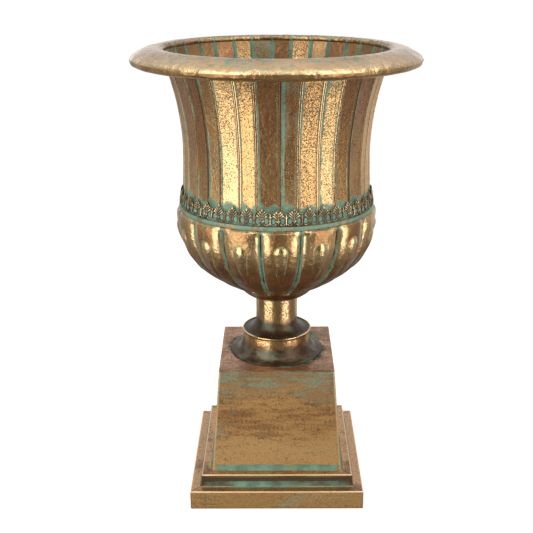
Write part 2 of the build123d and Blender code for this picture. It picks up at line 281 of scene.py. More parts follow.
def folded(corners, radii, count):
    """A run of points through corners, each rounded to its radius."""
    corners = [complex(*corner) for corner in corners]
    run = corners[:1]
    for before, corner, after, radius in zip(corners, corners[1:], corners[2:], radii):
        back = (before - corner) / abs(before - corner)
        ahead = (after - corner) / abs(after - corner)
        half = abs(back - ahead) / 2
        centre = corner + (back + ahead) / abs(back + ahead) * radius / half
        start = corner + back * radius * math.sqrt(1 - half**2) / half - centre
        finish = corner + ahead * radius * math.sqrt(1 - half**2) / half - centre
        run += [centre + start * (finish / start) ** (i / count) for i in range(count + 1)]
    run.append(corners[-1])
    return np.array([(p.real, p.imag) for p in run])


def filled(run, spacing):
    """The run with more points on its long spans."""
    points = []
    for a, b in zip(run, run[1:]):
        count = max(1, math.ceil(np.linalg.norm(b - a) / spacing))
        points += [a + (b - a) * i / count for i in range(count)]
    return np.array([*points, run[-1]])


def heading(run):
    """The direction of a run at each of its points."""
    along = np.gradient(run, axis=0)
    return along / np.linalg.norm(along, axis=1, keepdims=True)


def leftward(run):
    """The direction to the left of a run at each of its points."""
    along = heading(run)
    return np.stack([-along[:, 1], along[:, 0]], -1)


def sway(points, wavelength, seed):
    """A smooth uneven field at points, mostly from -1 to 1."""
    chance = np.random.default_rng(seed)
    field = 0
    for _ in range(12):
        way = chance.normal(size=3)
        way *= 2 * math.pi / wavelength * chance.uniform(0.6, 1.4) / np.linalg.norm(way)
        field = field + np.sin(points @ way + chance.uniform(0, 2 * math.pi))
    return field / 3


def dented(grid, centre_height, amount, wavelength, seed):
    """The grid with shallow dents, towards and away from a point on the axis."""
    out = grid - (0, 0, centre_height)
    out /= np.linalg.norm(out, axis=-1, keepdims=True)
    return grid + out * (sway(grid, wavelength, seed) * amount)[..., None]


def linked(name, data):
    """A new object in the scene."""
    made = bpy.data.objects.new(name, data)
    bpy.context.collection.objects.link(made)
    return made


def mesh_object(name, points, faces, marks):
    """A smooth mesh object from points in millimetres, faces and marks on the points."""
    mesh = bpy.data.meshes.new(name)
    mesh.from_pydata((points * MM).tolist(), [], faces)
    for mark, values in marks.items():
        values = np.broadcast_to(values, points.shape[:1]).astype(np.float32)
        mesh.attributes.new(mark, "FLOAT", "POINT").data.foreach_set("value", values)
    mesh.shade_smooth()
    mesh.set_sharp_from_angle(angle=SHARP_FOLD)
    return linked(name, mesh)


def woven(grid, marks=None, loop=True, ring=True):
    """Points, faces and marks of a grid whose rows and columns may close on themselves."""
    rows, columns = grid.shape[:2]
    index = np.arange(rows * columns).reshape(rows, columns)
    if loop:
        index = np.vstack([index, index[:1]])
    if ring:
        index = np.hstack([index, index[:, :1]])
    corners = (index[:-1, :-1], index[:-1, 1:], index[1:, 1:], index[1:, :-1])
    flat = {name: np.broadcast_to(m, (rows, columns)).ravel() for name, m in (marks or {}).items()}
    return grid.reshape(-1, 3), np.stack(corners, -1).reshape(-1, 4), flat


def outward(points, faces):
    """The faces as lists, turned over if together they face inwards."""
    a, b, c, d = (points[faces[:, i]] for i in range(4))
    volume = (np.cross(b - a, c - a) * a).sum() + (np.cross(c - a, d - a) * a).sum()
    return (faces[:, ::-1] if volume < 0 else faces).tolist()


def piece(name, points, faces, marks, slot, material, *nodes):
    """A piece of the urn that rides on its body and stands for CAD nodes."""
    if isinstance(faces, np.ndarray):
        faces = outward(points, faces)
    made = mesh_object(name, points, faces, marks)
    made.data.materials.append(material)
    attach(made, "root")
    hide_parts(*nodes)


def turned(run, columns):
    """A grid that turns a run of (radius, height) points about the axis."""
    return place(run[:, :1], circle(columns)[None, :], run[:, 1:])


# Rim, wall and gallery


RIM_COLUMNS = 288
RIM_RUN = (
    (89.3, 0.0), (88.9, 1.5), (89.6, 3.2), (91.8, 4.3), (95.5, 4.6), (100.0, 4.1), (104.5, 2.8),
    (108.8, 0.8), (112.4, -1.3), (114.5, -3.3), (115.0, -5.2), (114.3, -7.2), (112.5, -8.7),
    (110.0, -9.1), (107.7, -8.4), (106.3, -6.6), (105.4, -3.6), (104.6, -0.6),
)
WALL_WAIST = 75.4
# Share of the wall's height, and share of the waist there
WALL_CURVE = (
    (0.0, 1.012), (0.12, 1.009), (0.24, 1.001), (0.36, 0.999), (0.48, 1.008), (0.60, 1.029),
    (0.71, 1.060), (0.82, 1.103), (0.91, 1.148), (1.0, 1.194),
)
# Widths of the panels in hundredths of the mean, from the first rib round
PANEL_WIDTHS = (
    91, 107, 100, 101, 114, 88, 108, 94, 106, 92, 109, 93, 105, 95, 104, 96,
    105, 93, 108, 92, 107, 94, 105, 95, 102, 92, 107, 93, 85, 112, 91, 116,
)
# Each panel's green wash, brown tone and dark stipple, in hundredths. On the front panels the tone
# is low where a panel catches a lamp and high where it faces the camera, so it is partly painted
# highlight and shade.
PANEL_LOOKS = (
    (72, 15, 62, 10, 15, 10, 50, 20, 40, 10, 70, 30, 20, 50, 10, 40,
     80, 20, 30, 60, 10, 40, 20, 50, 10, 20, 15, 15, 50, 0, 0, 10),
    (75, 35, 15, 80, 80, 50, 45, 50, 60, 30, 50, 20, 70, 40, 20, 60,
     50, 30, 70, 40, 20, 60, 30, 50, 50, 65, 80, 85, 60, 5, 24, 90),
    (35, 100, 70, 60, 50, 15, 20, 40, 50, 70, 40, 60, 50, 40, 70, 50,
     30, 60, 50, 40, 60, 50, 70, 40, 30, 20, 30, 60, 30, 70, 80, 30),
)
# How much each rib's beads are rubbed, in tenths: high values also give a bead a brass painted
# highlight, low ones darken it with painted shade
RIB_WEAR_AND_SHEEN = (
    8, 10, 9, 9, 3, 1, 1, 4, 6, 8, 5, 9, 6, 8, 5, 9,
    7, 6, 9, 5, 8, 6, 9, 5, 4, 1, 1, 2, 3, 8, 10, 10,
)
FIRST_RIB = math.radians(2.0)
RIB_HALF = np.array((0.17, 0.38, 0.62, 0.88, 1.1, 1.3))
RIB_ACROSS = np.concatenate([-RIB_HALF[::-1], [0], RIB_HALF])
BEAD_PLACE = 0.62
PANEL_SPANS = 8


def rib_turns():
    """Angles of the wall's ribs from the front, in radians."""
    return FIRST_RIB + 2 * math.pi * np.cumsum((0, *PANEL_WIDTHS[:-1])) / sum(PANEL_WIDTHS)


def rim_gilt():
    """Gold rubbed to brass at the lip's front, partly rubbed and partly painted highlight, a
    painted highlight along the bead's underside, painted shade on the lip's outer face, green
    strokes, and a pale painted reflection over the top towards its ends.
    """
    paint = Finish("rim_gilt")
    ends, upward, mouth, wave = map(paint.mark, ("ends", "upward", "mouth", "rib_wave"))
    rib = (wave | wave * -1).step(0.26, 0.06) * mouth
    top = upward.step(0.25, 0.85)
    sweep = paint.grain(12, 4, (0.6, 1, 1))
    strokes = paint.grain(1.9, 4, (0.5, 0.9, 1), 0.6)
    fine = paint.grain(1.1, 3)
    body = paint.mix(paint.grain(22, 3).step(0.4, 0.6) * 0.7 + 0.3, "bronze", "gold")
    body = paint.mix(top * (fine.step(0.45, 0.65) * 0.3 + 0.35), body, "copper")
    # The top turns pale towards its left and right ends, a painted reflection of the white room at
    # a grazing angle.
    body = paint.mix(ends * top * 0.5, body, "rim_end_sheen")
    edge = upward.step(-0.55, -0.8)
    lip = upward.step(0.96, 0.76) * (1 - mouth)
    under = upward.step(0.42, 0.12)
    green = ((strokes * 0.7 + sweep * 0.3).step(0.49, 0.57) * 0.7 + 0.32) * top
    green = green * (1 - ends * 0.65) * (1 - lip * 0.5) * 0.8 | rib * 0.9
    pits = paint.grain(0.6, 2).step(0.54, 0.62) * (lip * 0.1 + 0.2)
    soot_and_shade = fine.step(0.56, 0.66) * (sweep.step(0.48, 0.6) * 0.6 + 0.15) * (1 - lip) | pits
    # Painted shade: the lip's steep outer face is darkened.
    soot_and_shade = soot_and_shade | under * (strokes.step(0.42, 0.56) * 0.3 + 0.3)
    soot_and_shade = (soot_and_shade | mouth * (fine.step(0.45, 0.6) * 0.5 + 0.2)) * (1 - rib) * (1 - edge)
    # The lip's front is turned to brass, partly rubbed and partly painted highlight; the bead's
    # underside gets a painted highlight.
    worn = edge * 0.7 | lip * (1 - under) * (strokes.step(0.4, 0.55) * 0.4 + 0.3)
    hammer = paint.grain(2.6, 2) * 3.2 + paint.grain(1.1, 2) * 0.7
    return paint.gilt(body, green, soot_and_shade, worn, fine, hammer, 0.24)


class URN_OT_rim(bpy.types.Operator):
    """Spin the broad rim and roll its edge into a bead"""

    bl_idname = "urn_vase.rim"
    bl_label = "Rolled Rim"

    def execute(self, context):
        dents = context.scene.urn_sizes.dents / MM
        run = flowing(RIM_RUN, 5) + (0, WALL_TOP)
        grid = dented(turned(run, RIM_COLUMNS), WALL_TOP - 20, 1.6 * dents, 26, 3)
        grid = dented(grid, WALL_TOP - 20, 1.5 * dents, 9, 4)
        turn, ribs = circle(RIM_COLUMNS), rib_turns() - FIRST_RIB
        beyond = np.mod(turn - FIRST_RIB, 2 * math.pi)
        panels = np.interp(beyond, [*ribs, 2 * math.pi], np.arange(len(ribs) + 1))
        marks = {
            "ends": step(np.abs(np.sin(turn)), 0.45, 0.9)[None, :],
            "upward": heading(run)[:, :1],
            "mouth": 1 - step(run[:, :1], 91.0, 94.0),
            "rib_wave": np.sin(math.pi * panels)[None, :],
        }
        piece("rolled_rim", *woven(grid, marks), "rim", rim_gilt(), "rim_ring")
        return {"FINISHED"}


def wall_gilt():
    """Stippled gold and brown panels, rubbed beads, green along the ribs and the foot, and painted
    highlight and shade on some panels and beads.
    """
    paint = Finish("wall_gilt")
    rib, height, inside, wear = map(paint.mark, ("rib", "height", "hidden", "wear"))
    wash, tone, speck, way = map(paint.mark, ("wash", "tone", "speck", "way"))
    outside = 1 - inside
    fine = paint.grain(0.45, 2)
    patch = paint.grain(14, 4, (1, 1, 0.5))
    ragged = paint.grain(4.5, 4, (1, 1, 0.3))
    high = height.step(20, 110)
    ridge = rib.step(1.05, 0.7)
    brown = (patch * 0.6 + tone * (high * 0.3 + 0.4)).step(0.42, 0.85)
    body = paint.mix(brown, "gold", "bronze")
    body = paint.mix(paint.grain(3, 3).step(0.5, 0.7) * 0.12, body, "copper")
    side = (rib - ragged * 2.4 - wash * 1.2).step(1.2, 0.5) * rib.step(0.9, 1.15)
    one_side = (way.step(-0.5, 0.5) * 0.65 + 0.3) * (ragged.step(0.42, 0.52) * 0.6 + 0.4)
    foot = (height - ragged * 18 - paint.grain(9, 2) * 6).step(4, 0)
    stain = (patch * 0.45 + wash * 0.14 + ragged * 0.45).step(0.53, 0.64) * wash
    stain = stain * (high * 0.6 + 0.4) * (1 - inside * 0.4)
    green = side * one_side * outside | foot * 0.92 | stain * 0.85
    groove = (rib - ragged * 1.6).step(1.1, 0.3) * inside
    green = green * (1 - ridge * outside * 0.8) | groove * 0.95
    cloud = (paint.grain(20, 2) + high * 0.07).step(0.4, 0.6)
    stipple = (fine + cloud * 0.07 + speck * (high * 0.04 + 0.02)).step(0.6, 0.7) * 0.8
    gutter = rib.step(0.48, 0.22) | rib.step(0.95, 1.2) * rib.step(1.8, 1.4)
    # Painted shade: the wall's top under the rim is darkened, and so is the darkest-toned panel.
    painted_shade = (height - patch * 30).step(90, 108) * 0.5 | tone.step(0.86, 0.9) * 0.25
    # Painted shade: beads with little rubbing are darkened, which takes the lamps' reflections off
    # the side ribs.
    dull = ridge * (1 - wear) * 0.75
    soot_and_shade = (stipple | painted_shade) * (1 - ridge) | gutter * 0.85 | dull * outside
    soot_and_shade = soot_and_shade | inside * (patch.step(0.42, 0.58) * 0.35 + 0.12)
    # Painted highlight: the lightest-toned panels get brass, most near their foot.
    panel_highlight = tone.step(0.26, 0.05) * (1 - high * 0.6) * 0.4
    worn = (ridge * wear * 0.8 | panel_highlight) * (1 - gutter) * outside
    return paint.gilt(body, green, soot_and_shade, worn, fine, paint.grain(1.6, 2) * 1.5)


class URN_OT_wall(bpy.types.Operator):
    """Fold the tall wall: flat panels between ribs of two beads"""

    bl_idname = "urn_vase.wall"
    bl_label = "Fluted Wall"

    def execute(self, context):
        sizes = context.scene.urn_sizes
        gap = np.abs(RIB_ACROSS)
        bead = sizes.rib_rise / MM * (1 - step(np.abs(gap - BEAD_PLACE), 0.05, 0.55))
        outside = np.maximum(bead, sizes.rib_groove / MM * (gap < 0.6))
        inside = 0.75 * (1 - step(gap, 0.3, 1.2)) - sizes.sheet / MM
        curve = flowing(WALL_CURVE, 8)
        grids = []
        for lift, levels in ((outside, curve), (inside, curve[::-1])):
            ring, width = self.ring(WALL_WAIST + lift)
            plan = ring * levels[:, 1:, None]
            height = BOWL_TOP + (WALL_TOP - BOWL_TOP) * levels[:, :1]
            grids.append(np.dstack([plan, np.broadcast_to(height, plan.shape[:2])]))
        grid = np.vstack(grids)
        reach = np.linalg.norm(grid[..., :2], axis=-1, keepdims=True)
        out = np.dstack([grid[..., :2] / reach, np.zeros_like(reach)])
        grid = grid + out * (sway(grid, 30, 5) * sizes.dents / MM)[..., None]
        marks = self.ring_marks(gap, width)
        marks["height"] = grid[..., 2] - BOWL_TOP
        marks["hidden"] = np.repeat((0, 1), len(curve))[:, None]
        piece("ribbed_wall", *woven(grid, marks), "wall", wall_gilt(), "fluted_wall")
        return {"FINISHED"}

    def ring(self, out):
        """Plan points once round, rib by rib, and the widths of the flats between the ribs."""
        s, c = (wave(rib_turns())[:, None] for wave in (np.sin, np.cos))
        ribs = np.stack([out * s + RIB_ACROSS * c, RIB_ACROSS * s - out * c], -1)
        start, end = ribs[:, -1:], np.roll(ribs[:, :1], -1, axis=0)
        flats = start + (end - start) * self.parts()[:, None]
        return np.hstack([ribs, flats]).reshape(-1, 2), np.linalg.norm(end - start, axis=-1)

    def parts(self):
        """Shares of the way across a flat at which it has points."""
        return np.linspace(0, 1, PANEL_SPANS + 1)[1:-1]

    def ring_marks(self, gap, width):
        """Marks once round: how far the rib is, on which side, how rubbed its beads are with their
        painted highlight and shade, and the panel's looks.
        """
        parts, panel = self.parts(), np.arange(len(PANEL_WIDTHS))[:, None]
        near, far = np.ones_like(gap), np.zeros_like(parts)
        away = RIB_ACROSS[-1] + width * np.minimum(parts, 1 - parts)
        owner = panel - np.concatenate([RIB_ACROSS < 0, far > 0])
        marks = {
            "rib": np.hstack([gap + 0 * panel, away]),
            "way": np.concatenate([np.sign(RIB_ACROSS), np.where(parts < 0.5, 1, -1)]) + 0 * panel,
            "wear": np.concatenate([near, far]) * np.array(RIB_WEAR_AND_SHEEN)[:, None] / 10,
        }
        for name, shares in zip(("wash", "tone", "speck"), PANEL_LOOKS):
            marks[name] = np.array(shares)[owner] / 100
        return {name: values.ravel()[None, :] for name, values in marks.items()}


# A motif is laid flat, along and up from the middle of its foot, and then bent round the wall.
GALLERY_RADIUS = 80.02
MOTIFS = 41
FIRST_MOTIF = math.radians(0.9)
MOTIF_HALF = math.pi * GALLERY_RADIUS / MOTIFS
EYE_SIDES = 16
BLADES = (
    ((0.2, 3.4), (0.8, 4.0), (1.4, 5.2)),
    ((0.2, 5.2), (2.2, 7.1), (4.5, 9.0)),
    ((0.2, 7.2), (1.9, 8.8), (3.7, 10.6)),
    ((0.2, 9.2), (1.1, 10.2), (2.1, 11.9)),
)
BLADE_WIDTHS = np.array((0.7, 0.8, 0.9, 1.05, 1.2, 1.4, 1.55, 1.6, 1.2))
OUTLINE = (
    (MOTIF_HALF, 0.0), (MOTIF_HALF, 9.6), (MOTIF_HALF - 0.4, 9.6), (MOTIF_HALF - 0.45, 6.9),
    (MOTIF_HALF - 1.2, 7.4), (4.3, 7.2), (3.3, 7.3), (2.2, 6.9), (1.2, 7.0), (1.0, 9.0),
    (0.8, 11.0), (0.5, 12.2), (0.4, 13.1),
)


def ribbon(run, width):
    """A raised stroke along a run of (along, up) points, with its ends drawn in."""
    width = np.broadcast_to(width, len(run)).astype(float).copy()
    width[[0, -1]] *= 0.15
    turn = circle(8)
    wide = (width[:, None] * np.cos(turn))[..., None]
    flat = run[:, None, :] + leftward(run)[:, None, :] * wide
    out = 0.3 + np.minimum(width, 0.5)[:, None] * np.sin(turn) * 1.05
    return woven(np.dstack([flat, out]), loop=False)[:2]


def mirrored(run):
    """The run and its mirror image across the motif's middle."""
    run = np.array(run, float)
    return [run, run * (-1, 1)]


def oval(wide, tall, turn, up=4.3):
    """Points of an oval about the right eye of a motif."""
    return np.stack([3.35 + wide * np.cos(turn), up + tall * np.sin(turn)], -1)


def gallery_gilt():
    """Rosy gold on the raised strokes, their tops in brass, partly rubbed and partly painted
    highlight, over dark brown painted shade with green in the eyes.
    """
    paint = Finish("gallery_gilt")
    fine = paint.grain(0.8, 3)
    relief = paint.mark("relief")
    top, eye = relief.step(0.42, 0.68), relief.step(-0.5, -0.8)
    rosy = paint.mix(paint.grain(5, 2).step(0.4, 0.6), "copper", "gold")
    rubbed = paint.grain(9, 3).step(0.4, 0.6) * 0.35 + 0.15
    green = eye | (1 - top) * rubbed | paint.grain(4, 4).step(0.56, 0.64) * 0.55
    # Painted shade: the sheet between the raised strokes is darkened almost to black-brown.
    soot_and_shade = ((1 - top) * 0.92 | fine.step(0.48, 0.6) * 0.65) * (1 - eye)
    body = paint.mix(top, "umber", rosy)
    # The strokes' tops take brass, partly rubbed and partly painted highlight.
    return paint.gilt(body, green, soot_and_shade, top * 0.5, fine, fine * 0.5, 0.3)


class URN_OT_gallery(bpy.types.Operator):
    """Stamp the pierced gallery of palmettes, eyes and posts round the wall's foot"""

    bl_idname = "urn_vase.gallery"
    bl_label = "Palmette Gallery"

    def strokes(self, leaf):
        """The raised strokes of one motif, as runs with their half widths."""
        half = MOTIF_HALF
        made = [
            (flowing([(0, 1.4), (0, 5), (0, 9), (0, 11.6)], 3), leaf * 0.9),
            (np.array([(0, 11.5), (0, 11.8), (0, 12.5), (0, 13.1), (0, 13.4)]), leaf * 2.4),
        ]
        for blade in BLADES:
            made += [(run, leaf * BLADE_WIDTHS) for run in mirrored(flowing(blade, 4))]
        loop = oval(1.9, 2.1, np.linspace(1.08 * math.pi, 1.92 * math.pi, 11), 3.3)
        made += [(run, leaf) for run in mirrored(loop)]
        made.append((flowing([(half, 0.9), (half, 4), (half, 7), (half, 9.5)], 3), leaf * 1.2))
        made.append((np.array([(half, 9.0), (half, 9.3), (half, 9.7), (half, 10.0)]), leaf * 1.6))
        for way in (1, -1):
            arm = [(half, 6.0), (half - 0.8 * way, 7.2), (half - 1.7 * way, 7.7)]
            made.append((flowing([*arm, (half - 2.5 * way, 7.4)], 4), leaf * 0.9))
        return made

    def plate(self):
        """The pierced sheet of one motif, from an outline and two eyes."""
        curve = bpy.data.curves.new("pierced_sheet", "CURVE")
        curve.dimensions = "2D"
        curve.fill_mode = "BOTH"
        curve.extrude = 0.3
        outline = [*OUTLINE, *[(-u, v) for u, v in reversed(OUTLINE)]]
        for line in (outline, *mirrored(oval(1.6, 2.3, circle(EYE_SIDES)))):
            spline = curve.splines.new("POLY")
            spline.points.add(len(line) - 1)
            spline.use_cyclic_u = True
            for point, (u, v) in zip(spline.points, line):
                point.co = (u, v, 0, 1)
        held = bpy.data.objects.new("pierced_sheet", curve)
        mesh = bpy.data.meshes.new_from_object(held)
        points = np.array([v.co for v in mesh.vertices])
        faces = [list(p.vertices) for p in mesh.polygons]
        bpy.data.objects.remove(held)
        bpy.data.curves.remove(curve)
        bpy.data.meshes.remove(mesh)
        return points, faces

    def motif(self, leaf):
        """Points, faces and relief of one motif: its sheet, filled eyes and raised strokes."""
        flat, faces = self.plate()
        parts = [(flat, faces, np.zeros(len(flat)))]
        for side in (1, -1):
            edge = oval(1.65, 2.35, circle(EYE_SIDES)) * (side, 1)
            fill = np.vstack([np.insert(edge, 2, -0.1, axis=1), [(side * 3.35, 4.3, 0.1)]])
            fan = [[i, (i + 1) % EYE_SIDES, EYE_SIDES][::side] for i in range(EYE_SIDES)]
            parts.append((fill, fan, np.full(len(fill), -1.0)))
        for run, width in self.strokes(leaf):
            stroke, quads = ribbon(run, width)
            parts.append((stroke, quads.tolist(), stroke[:, 2]))
        faces, start = [], 0
        for points, corners, _ in parts:
            faces += [[start + n for n in face] for face in corners]
            start += len(points)
        points, _, relief = zip(*parts)
        return np.vstack(points), faces, np.concatenate(relief)

    def execute(self, context):
        motif, faces, relief = self.motif(context.scene.urn_sizes.leaf_width / MM)
        every, all_faces = [], []
        for i in range(MOTIFS):
            turn = FIRST_MOTIF + 2 * math.pi * i / MOTIFS + motif[:, 0] / GALLERY_RADIUS
            uneven = sway(np.array([[i * 7.0, 0, 0]]), 20, 2)[0] * 0.12
            lean = (uneven - 2.2) * (motif[:, 1] / 13) ** 1.5
            reach = GALLERY_RADIUS - 0.35 + motif[:, 2] + lean
            every.append(place(reach, turn, BOWL_TOP + motif[:, 1]))
            all_faces += [[n + len(motif) * i for n in face] for face in faces]
        marks = {"relief": np.tile(relief, MOTIFS)}
        made = (np.vstack(every), all_faces, marks)
        piece("palmette_gallery", *made, "gallery", gallery_gilt(), "gallery_band")
        return {"FINISHED"}


# Bowl


CREST = 82.72
CREASE = 78.92
LOBES = 16
LOBE_HALF = math.pi / LOBES
LOBE_COLUMNS = 48
FIRST_LOBE = math.radians(2.3)
LOBES_TOP = BOWL_TOP - 3.8
SHOULDER_RADIUS = 80.42
SHOULDER_ROUND = 0.9
MOUTH_RADIUS = 75.0
FLOOR = 1.2
# Share of the lobes' height, and share of the crest there
LOBE_CURVE = (
    (0.0, 0.410), (0.028, 0.470), (0.070, 0.535), (0.120, 0.605), (0.180, 0.680), (0.250, 0.752),
    (0.330, 0.822), (0.415, 0.877), (0.500, 0.919), (0.590, 0.951), (0.680, 0.975),
    (0.770, 0.991), (0.860, 0.999), (0.930, 1.0), (0.975, 0.992), (1.0, 0.970),
)
TONGUE_FOOT, TONGUE_BROAD, TONGUE_TIP = 200.0, 229.4, 235.2
TONGUE_HALF, TONGUE_POINT = 5.0, 0.9
# How much lower each lobe's tongue is than the highest, from the first lobe round
TONGUE_DROPS = (0.6, 0.0, 0.2, 0.8, 0.3, 0.9, 0.2, 0.7, 0.4, 1.0, 0.3, 0.6, 0.9, 0.8, 2.4, 1.9)
FLANK_FULLNESS = 0.45


def bowl_gilt():
    """Gold, with painted highlights on the flanks and tongues, painted shade in the lobes' middles
    and as darker bronze below, and green in the creases.
    """
    paint = Finish("bowl_gilt")
    crease, tongue, height, inside = map(paint.mark, ("crease", "tongue", "height", "hidden"))
    fine = paint.grain(0.95, 3, rough=0.6)
    streaks = paint.grain(2.5, 4, (1, 1, 0.5))
    patch = paint.grain(14, 4)
    # Painted shade: the lower bowl is browner and darker.
    low = (height + (patch - 0.5) * 12).step(36, 12)
    deep = height.step(54, 36)
    # Painted shade: the middle of each lobe above its tongue is darkened.
    field = tongue.step(-0.9, -1.8) * crease.step(4.5, 8.5) * height.step(44, 54)
    # Painted highlight: the flanks beside the creases and the tongues' upper parts stay gold and
    # take brass.
    flank_highlight = crease.step(1.6, 2.6) * crease.step(9, 6) * height.step(38, 50)
    lobe_highlight = flank_highlight | tongue.step(0, 1) * height.step(36, 48)
    brown = (patch * 0.7 + fine * 0.2 + low * 0.3 + field * 0.04).step(0.44, 0.6)
    body = paint.mix(brown * (0.9 - lobe_highlight * 0.9), "gold", "bronze")
    body = paint.mix(deep * 0.55, body, "bronze")
    band = (crease - streaks * 2.6).step(1, 0.1) * (0.9 - patch.step(0.5, 0.66) * 0.4)
    outline = tongue - fine * 0.5
    line = outline.step(-1.15, -0.85) * outline.step(-0.2, -0.5)
    line = line * height.step(27, 33) * streaks.step(0.4, 0.52)
    shoulder = (height + (streaks - 0.5) * 7).step(66.8, 69.2)
    green = band | line * 0.8 | shoulder * (streaks.step(0.38, 0.52) * 0.4 + 0.5)
    crack = (crease - (streaks - 0.5) * 2).step(0.32, 0.12) * 0.9
    green = green * (1 - crack) | inside * patch.step(0.35, 0.6) * 0.6
    thick = deep * 0.3 + patch.step(0.4, 0.6) * 0.2 + 0.3
    stipple = paint.grain(0.5, 2).step(0.53, 0.6) * thick * (1 - lobe_highlight * 0.6)
    feather = paint.grain(1, 3, (1, 1, 0.4)).step(0.53, 0.6) * flank_highlight * 0.4
    soot_and_shade = crack | stipple | low * 0.38 | field * 0.22 | feather
    return paint.gilt(body, green, soot_and_shade, lobe_highlight * 0.6, fine, paint.grain(1.7, 2) * 1.8)


class URN_OT_bowl(bpy.types.Operator):
    """Chase the gadrooned bowl: puffed lobes, sharp creases and raised tongues"""

    bl_idname = "urn_vase.bowl"
    bl_label = "Gadrooned Bowl"

    def execute(self, context):
        sizes = context.scene.urn_sizes
        rows, shown = self.rows()
        radius, height, share = rows[:, :1], rows[:, 1:2], rows[:, 2:]
        across = np.linspace(-1, 1, LOBE_COLUMNS + 1)[:-1]
        across = across + 0.07 * np.sin(math.pi * across)
        turn = FIRST_LOBE + LOBE_HALF * (2 * np.arange(LOBES)[:, None] + across)
        from_middle = np.tile(across * LOBE_HALF, LOBES)
        lobed = share * (1 - step(height, LOBES_TOP - 5.5, LOBES_TOP + 0.3) * 0.75)
        reach = radius * (1 + (self.plan(from_middle) - 1) * lobed)
        to_crease = (LOBE_HALF - np.abs(from_middle)) * reach
        dip = sizes.crease_depth / MM * np.exp(-((to_crease / 1.9) ** 2)) * lobed
        drops = np.repeat(TONGUE_DROPS, len(across))
        gap, swell = self.tongue(np.sin(from_middle) * reach, height + drops)
        moat = 0.3 * np.exp(-(((gap + 0.6) / 0.6) ** 2))
        reach = reach - dip + (sizes.tongue_rise / MM * swell - moat) * shown * share
        grid = place(reach, turn.ravel(), height)
        grid = dented(grid, BOWL_TOP - 10, 1.2 * sizes.dents / MM, 17, 6)
        marks = {
            "crease": np.where(share > 0.5, to_crease, 9.0),
            "tongue": np.where(shown, gap, -9.0),
            "height": height - BOWL_FOOT,
            "hidden": 1.0 - shown,
        }
        piece("gadrooned_bowl", *woven(grid, marks), "bowl", bowl_gilt(), "bowl")
        return {"FINISHED"}

    def rows(self):
        """Radius, height and share of the lobes' shape of each ring, and if it is outside."""
        floor = BOWL_FOOT + FLOOR
        curve = filled(flowing(LOBE_CURVE, 6) * (LOBES_TOP - BOWL_FOOT, CREST), 0.8)
        height, radius = BOWL_FOOT + curve[:, 0], curve[:, 1]
        edge = SHOULDER_RADIUS - SHOULDER_ROUND
        outside = [(ROD_HOLE, floor, 0), (ROD_HOLE, BOWL_FOOT, 0), (20, BOWL_FOOT, 0.3)]
        outside += zip(radius, height, np.ones_like(height))
        outside.append((edge - 0.3, LOBES_TOP + 0.1, 0.3))
        for t in np.linspace(-0.45 * math.pi, 0.5 * math.pi, 9):
            high = LOBES_TOP + (BOWL_TOP - LOBES_TOP) / 2 * (1 + math.sin(t))
            outside.append((edge + SHOULDER_ROUND * math.cos(t), high, 0))
        inside = [(MOUTH_RADIUS, BOWL_TOP, 0), (MOUTH_RADIUS, LOBES_TOP, 0)]
        inside += [
            (min(r - FLOOR, MOUTH_RADIUS * CREST / CREASE), h, 1)
            for r, h in zip(radius[::-4], height[::-4]) if h > floor + 1
        ]
        inside += [(r, floor, 0.6) for r in (31, 24, 14, 8)]
        shown = np.repeat((True, False), (len(outside), len(inside)))[:, None]
        return np.array([*outside, *inside]), shown

    def plan(self, angle):
        """The lobes' outline at an angle from a lobe's middle, as a share of the crest."""
        half_width = CREASE * math.sin(LOBE_HALF)
        bulge = CREST - CREASE * math.cos(LOBE_HALF)
        arc = (half_width**2 + bulge**2) / (2 * bulge)
        centre = CREST - arc
        reach = centre * np.cos(angle) + np.sqrt(arc**2 - (centre * np.sin(angle)) ** 2)
        across = (angle / LOBE_HALF) ** 2
        return (reach + FLANK_FULLNESS * 4 * across * (1 - across)) / CREST

    def tongue(self, across, height):
        """Distance inside a tongue's outline, negative outside it, and its swell as a share."""
        along = np.clip((height - TONGUE_FOOT) / (TONGUE_BROAD - TONGUE_FOOT), 0, 1)
        side = TONGUE_POINT + (TONGUE_HALF - TONGUE_POINT) * along**0.8
        arch = np.clip((height - TONGUE_BROAD) / (TONGUE_TIP - TONGUE_BROAD), 0, None)
        far = np.hypot(across / side, arch)
        gap = np.clip(side * (1 - far), -9, 9) - np.clip(TONGUE_FOOT - height, 0, None)
        swell = (1 - np.clip(far, 0, 1) ** 2) * (side / TONGUE_HALF) * step(gap, -0.2, 0.8)
        return gap, swell


# Dish, stem and collar


SPUN_COLUMNS = 160
# Degrees from the front of the upright strips of painted highlight in brass on the stem and the
# collar; between them the metal is darkened as painted shade
HIGHLIGHT_STRIPS = (-24, 24, 72, 113, 158, 201, 247, 290)
DISH_RUN = (
    (17.5, 0.0), (18.3, 0.35), (20.6, 1.1), (23.0, 2.1), (25.5, 3.5), (27.9, 5.2),
    (29.9, 7.2), (31.5, 9.3), (32.5, 10.9),
)
STEM_SIDE, STEM_FLARE, STEM_COVE = 17.6, 10.5, 9.4
COLLAR_SIDE, COLLAR_FLARE, COLLAR_COVE = 28.8, 6.8, 9.6
COLLAR_LIP = ((0.05, 0.7), (0.3, 1.3), (0.62, 1.9), (0.8, 2.4), (0.72, 2.8), (0.45, 3.0))


def trumpet(side, flare, base, rise):
    """A quarter curve from a flared foot up into an upright side."""
    turn = np.linspace(0, 0.5 * math.pi, 15)
    return np.stack([side + flare * (1 - np.sin(turn)), base + rise * (1 - np.cos(turn))], -1)


def upright(side, low, high, count):
    """Points up an upright side, without the lowest."""
    return np.stack([np.full(count, side), np.linspace(low, high, count + 1)[1:]], -1)


